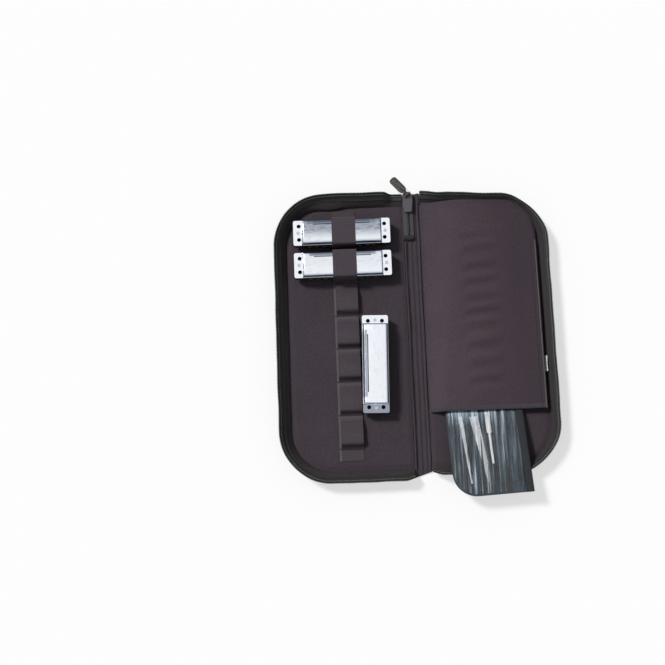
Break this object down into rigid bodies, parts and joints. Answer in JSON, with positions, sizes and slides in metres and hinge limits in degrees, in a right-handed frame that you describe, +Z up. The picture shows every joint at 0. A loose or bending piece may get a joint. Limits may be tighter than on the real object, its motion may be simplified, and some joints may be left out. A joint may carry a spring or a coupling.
{
  "type": "harmonica case",
  "caption": "Soft zipped case lying open: elastic loops hold harmonicas on one half, a pocket holds a tool wallet on the other, and the halves fold shut at the spine.",
  "frame": {"origin": "middle of the spine's underside, where the open case rests on a table", "axes": "+Z up, +Y along the spine towards the zipper slider, +X towards the pocket half"},
  "size_m": [0.2952, 0.3422, 0.0273],
  "materials": {
    "shell_cloth": "woven nylon, matt",
    "lining_cloth": "fine woven nylon, matt",
    "stiffener": "plain",
    "foam": "plain",
    "zipper_tape": "woven tape",
    "zipper_coil": "satin",
    "piping": "bound edge",
    "elastic": "ribbed elastic",
    "thread": "sewing thread",
    "label": "white satin, blank",
    "slider_metal": "satin",
    "pull_rubber": "moulded",
    "comb_plastic": "moulded",
    "reed_brass": "plain",
    "cover_chrome": "polished",
    "screw_steel": "plain",
    "wallet_vinyl": "soft vinyl",
    "clear_vinyl": "clear vinyl",
    "tool_steel": "bright"
  },
  "bodies": {
    "left_half": {"left_cover": "shell_cloth", "left_board": "stiffener", "left_foam": "foam", "left_lining": "lining_cloth", "left_gusset": "shell_cloth", "left_zipper_tape": "zipper_tape", "left_zipper_coil": "zipper_coil", "left_piping": "piping", "loop_strip_backing": "elastic", "loop_stitch_bars": "thread", "loop_1": "elastic", "loop_2": "elastic", "loop_3": "elastic", "loop_4": "elastic", "loop_5": "elastic", "loop_6": "elastic", "loop_7": "elastic"},
    "spine": {"spine_panel": "lining_cloth", "left_spine_fold": "lining_cloth", "right_spine_fold": "lining_cloth", "tail_tape": "zipper_tape", "tail_coil": "zipper_coil", "tail_end_tab": "zipper_tape"},
    "right_half": {"right_cover": "shell_cloth", "right_board": "stiffener", "right_foam": "foam", "right_lining": "lining_cloth", "right_gusset": "shell_cloth", "right_zipper_tape": "zipper_tape", "right_zipper_coil": "zipper_coil", "right_piping": "piping", "pocket_panel": "lining_cloth", "pocket_hem": "piping", "pocket_piping": "piping", "care_label": "label"},
    "slider": {"slider_body": "slider_metal"},
    "pull": {"pull_tab": "pull_rubber"},
    "harmonica_1": {"harmonica_1_comb": "comb_plastic", "harmonica_1_reed_plates": "reed_brass", "harmonica_1_upper_cover": "cover_chrome", "harmonica_1_lower_cover": "cover_chrome", "harmonica_1_screws": "screw_steel"},
    "harmonica_2": {"harmonica_2_comb": "comb_plastic", "harmonica_2_reed_plates": "reed_brass", "harmonica_2_upper_cover": "cover_chrome", "harmonica_2_lower_cover": "cover_chrome", "harmonica_2_screws": "screw_steel"},
    "harmonica_3": {"harmonica_3_comb": "comb_plastic", "harmonica_3_reed_plates": "reed_brass", "harmonica_3_upper_cover": "cover_chrome", "harmonica_3_lower_cover": "cover_chrome", "harmonica_3_screws": "screw_steel"},
    "wallet": {"wallet_back": "wallet_vinyl", "wallet_front": "clear_vinyl", "wallet_binding": "piping", "tool_reamer": "tool_steel", "tool_scraper": "tool_steel", "tool_screwdriver": "tool_steel", "tool_files": "tool_steel"}
  },
  "joints": [
    {"name": "lid_fold", "type": "hinge", "parent": "spine", "child": "right_half", "pos_m": [0.009, 0, 0.013], "axis": [0, 1, 0], "range_deg": [-90, 0], "deforming": ["right_spine_fold"]},
    {"name": "spine_fold", "type": "hinge", "parent": "left_half", "child": "spine", "pos_m": [-0.009, 0, 0.013], "axis": [0, 1, 0], "range_deg": [-90, 0], "deforming": ["left_spine_fold"]},
    {"name": "slider_slide", "type": "slide", "parent": "spine", "child": "slider", "axis": [0, 1, 0], "range_m": [-0.015, 0], "deforming": ["tail_tape", "tail_coil"]},
    {"name": "pull_flip", "type": "hinge", "parent": "slider", "child": "pull", "pos_m": [-0.0032, 0.1515, 0.01035], "axis": [0.7431, 0.6691, 0], "range_deg": [0, 150]},
    {"name": "harmonica_1_slide", "type": "slide", "parent": "left_half", "child": "harmonica_1", "axis": [0.9903, 0, 0.1392], "range_m": [0, 0.066], "deforming": ["loop_1"]},
    {"name": "harmonica_2_slide", "type": "slide", "parent": "left_half", "child": "harmonica_2", "axis": [0.9903, 0, 0.1392], "range_m": [0, 0.066], "deforming": ["loop_2"]},
    {"name": "harmonica_3_lift", "type": "slide", "parent": "left_half", "child": "harmonica_3", "axis": [0, 0, 1], "range_m": [0, 0.05]},
    {"name": "wallet_slide", "type": "slide", "parent": "right_half", "child": "wallet", "axis": [0.0516, -0.9853, 0.1631], "range_m": [0, 0.1]}
  ],
  "couplings": [
    {"joint": "spine_fold", "follows": "lid_fold", "ratio": 1}
  ]
}
